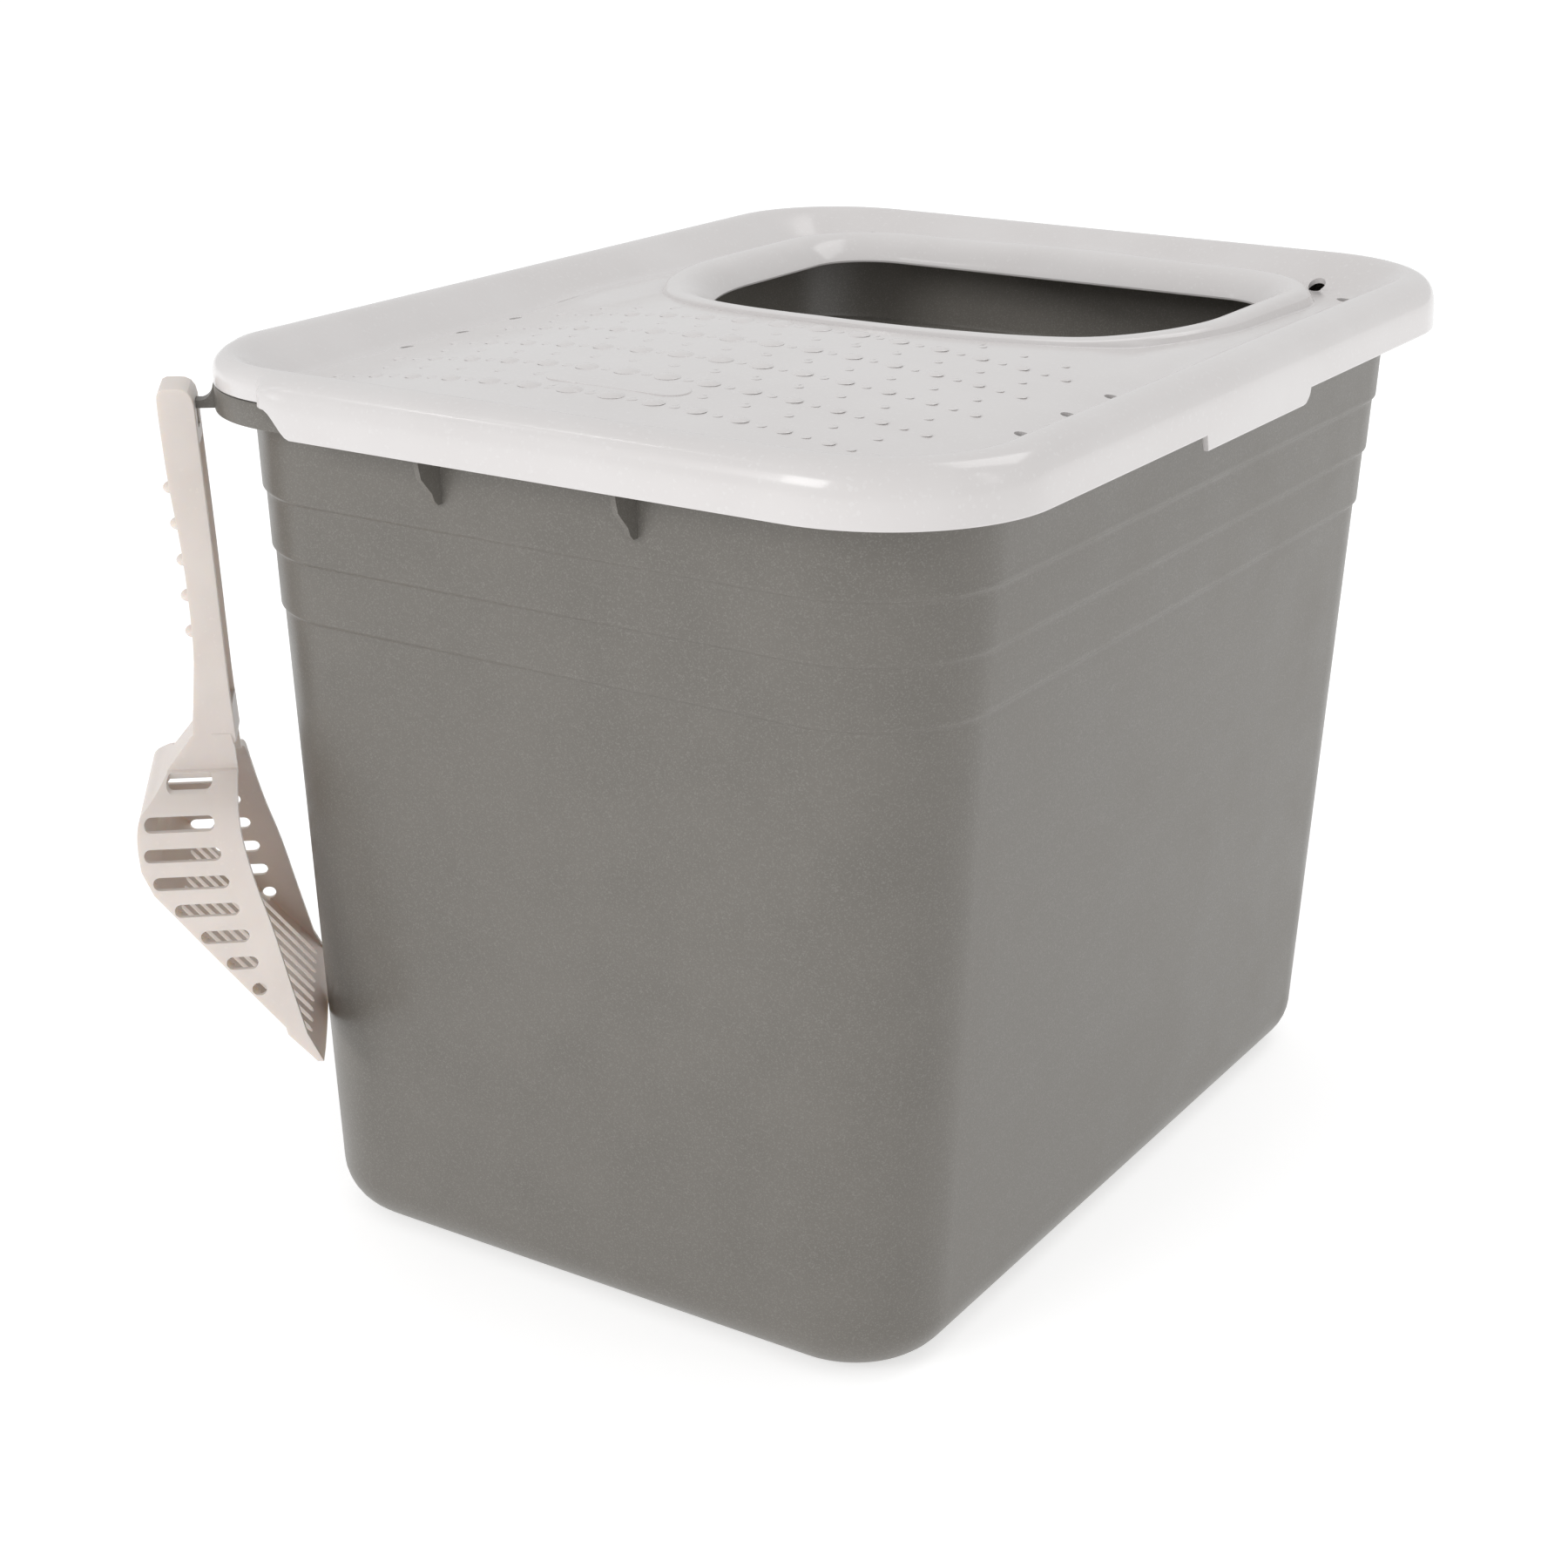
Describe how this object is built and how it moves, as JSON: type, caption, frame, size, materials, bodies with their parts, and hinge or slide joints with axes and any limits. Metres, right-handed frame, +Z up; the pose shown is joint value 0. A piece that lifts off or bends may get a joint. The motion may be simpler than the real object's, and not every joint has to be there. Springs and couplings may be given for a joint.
{
  "type": "top-entry cat litter box",
  "caption": "Deep tapered litter pan with a press-fit top-entry lid, a pebbled paw-cleaning platform and a slotted scoop hanging on a corner hook.",
  "frame": {"origin": "centre of the pan's flat underside, on the surface that it stands on", "axes": "+Z up, Y along the box with the entry hole at the +Y end, X across it"},
  "size_m": [0.4234, 0.5482, 0.392],
  "materials": {
    "pan_plastic": "satin warm grey with a fine pearl speckle",
    "lid_plastic": "gloss off-white",
    "scoop_plastic": "satin warm cream"
  },
  "bodies": {
    "pan": {"pan": "pan_plastic"},
    "lid": {"lid": "lid_plastic"},
    "scoop": {"scoop": "scoop_plastic"}
  },
  "joints": [
    {"name": "lid_lift", "type": "slide", "parent": "pan", "child": "lid", "axis": [0, 0, 1], "range_m": [0, 0.15]},
    {"name": "scoop_lift", "type": "slide", "parent": "pan", "child": "scoop", "axis": [-0.6293, -0.5243, 0.5736], "range_m": [0, 0.12]}
  ]
}
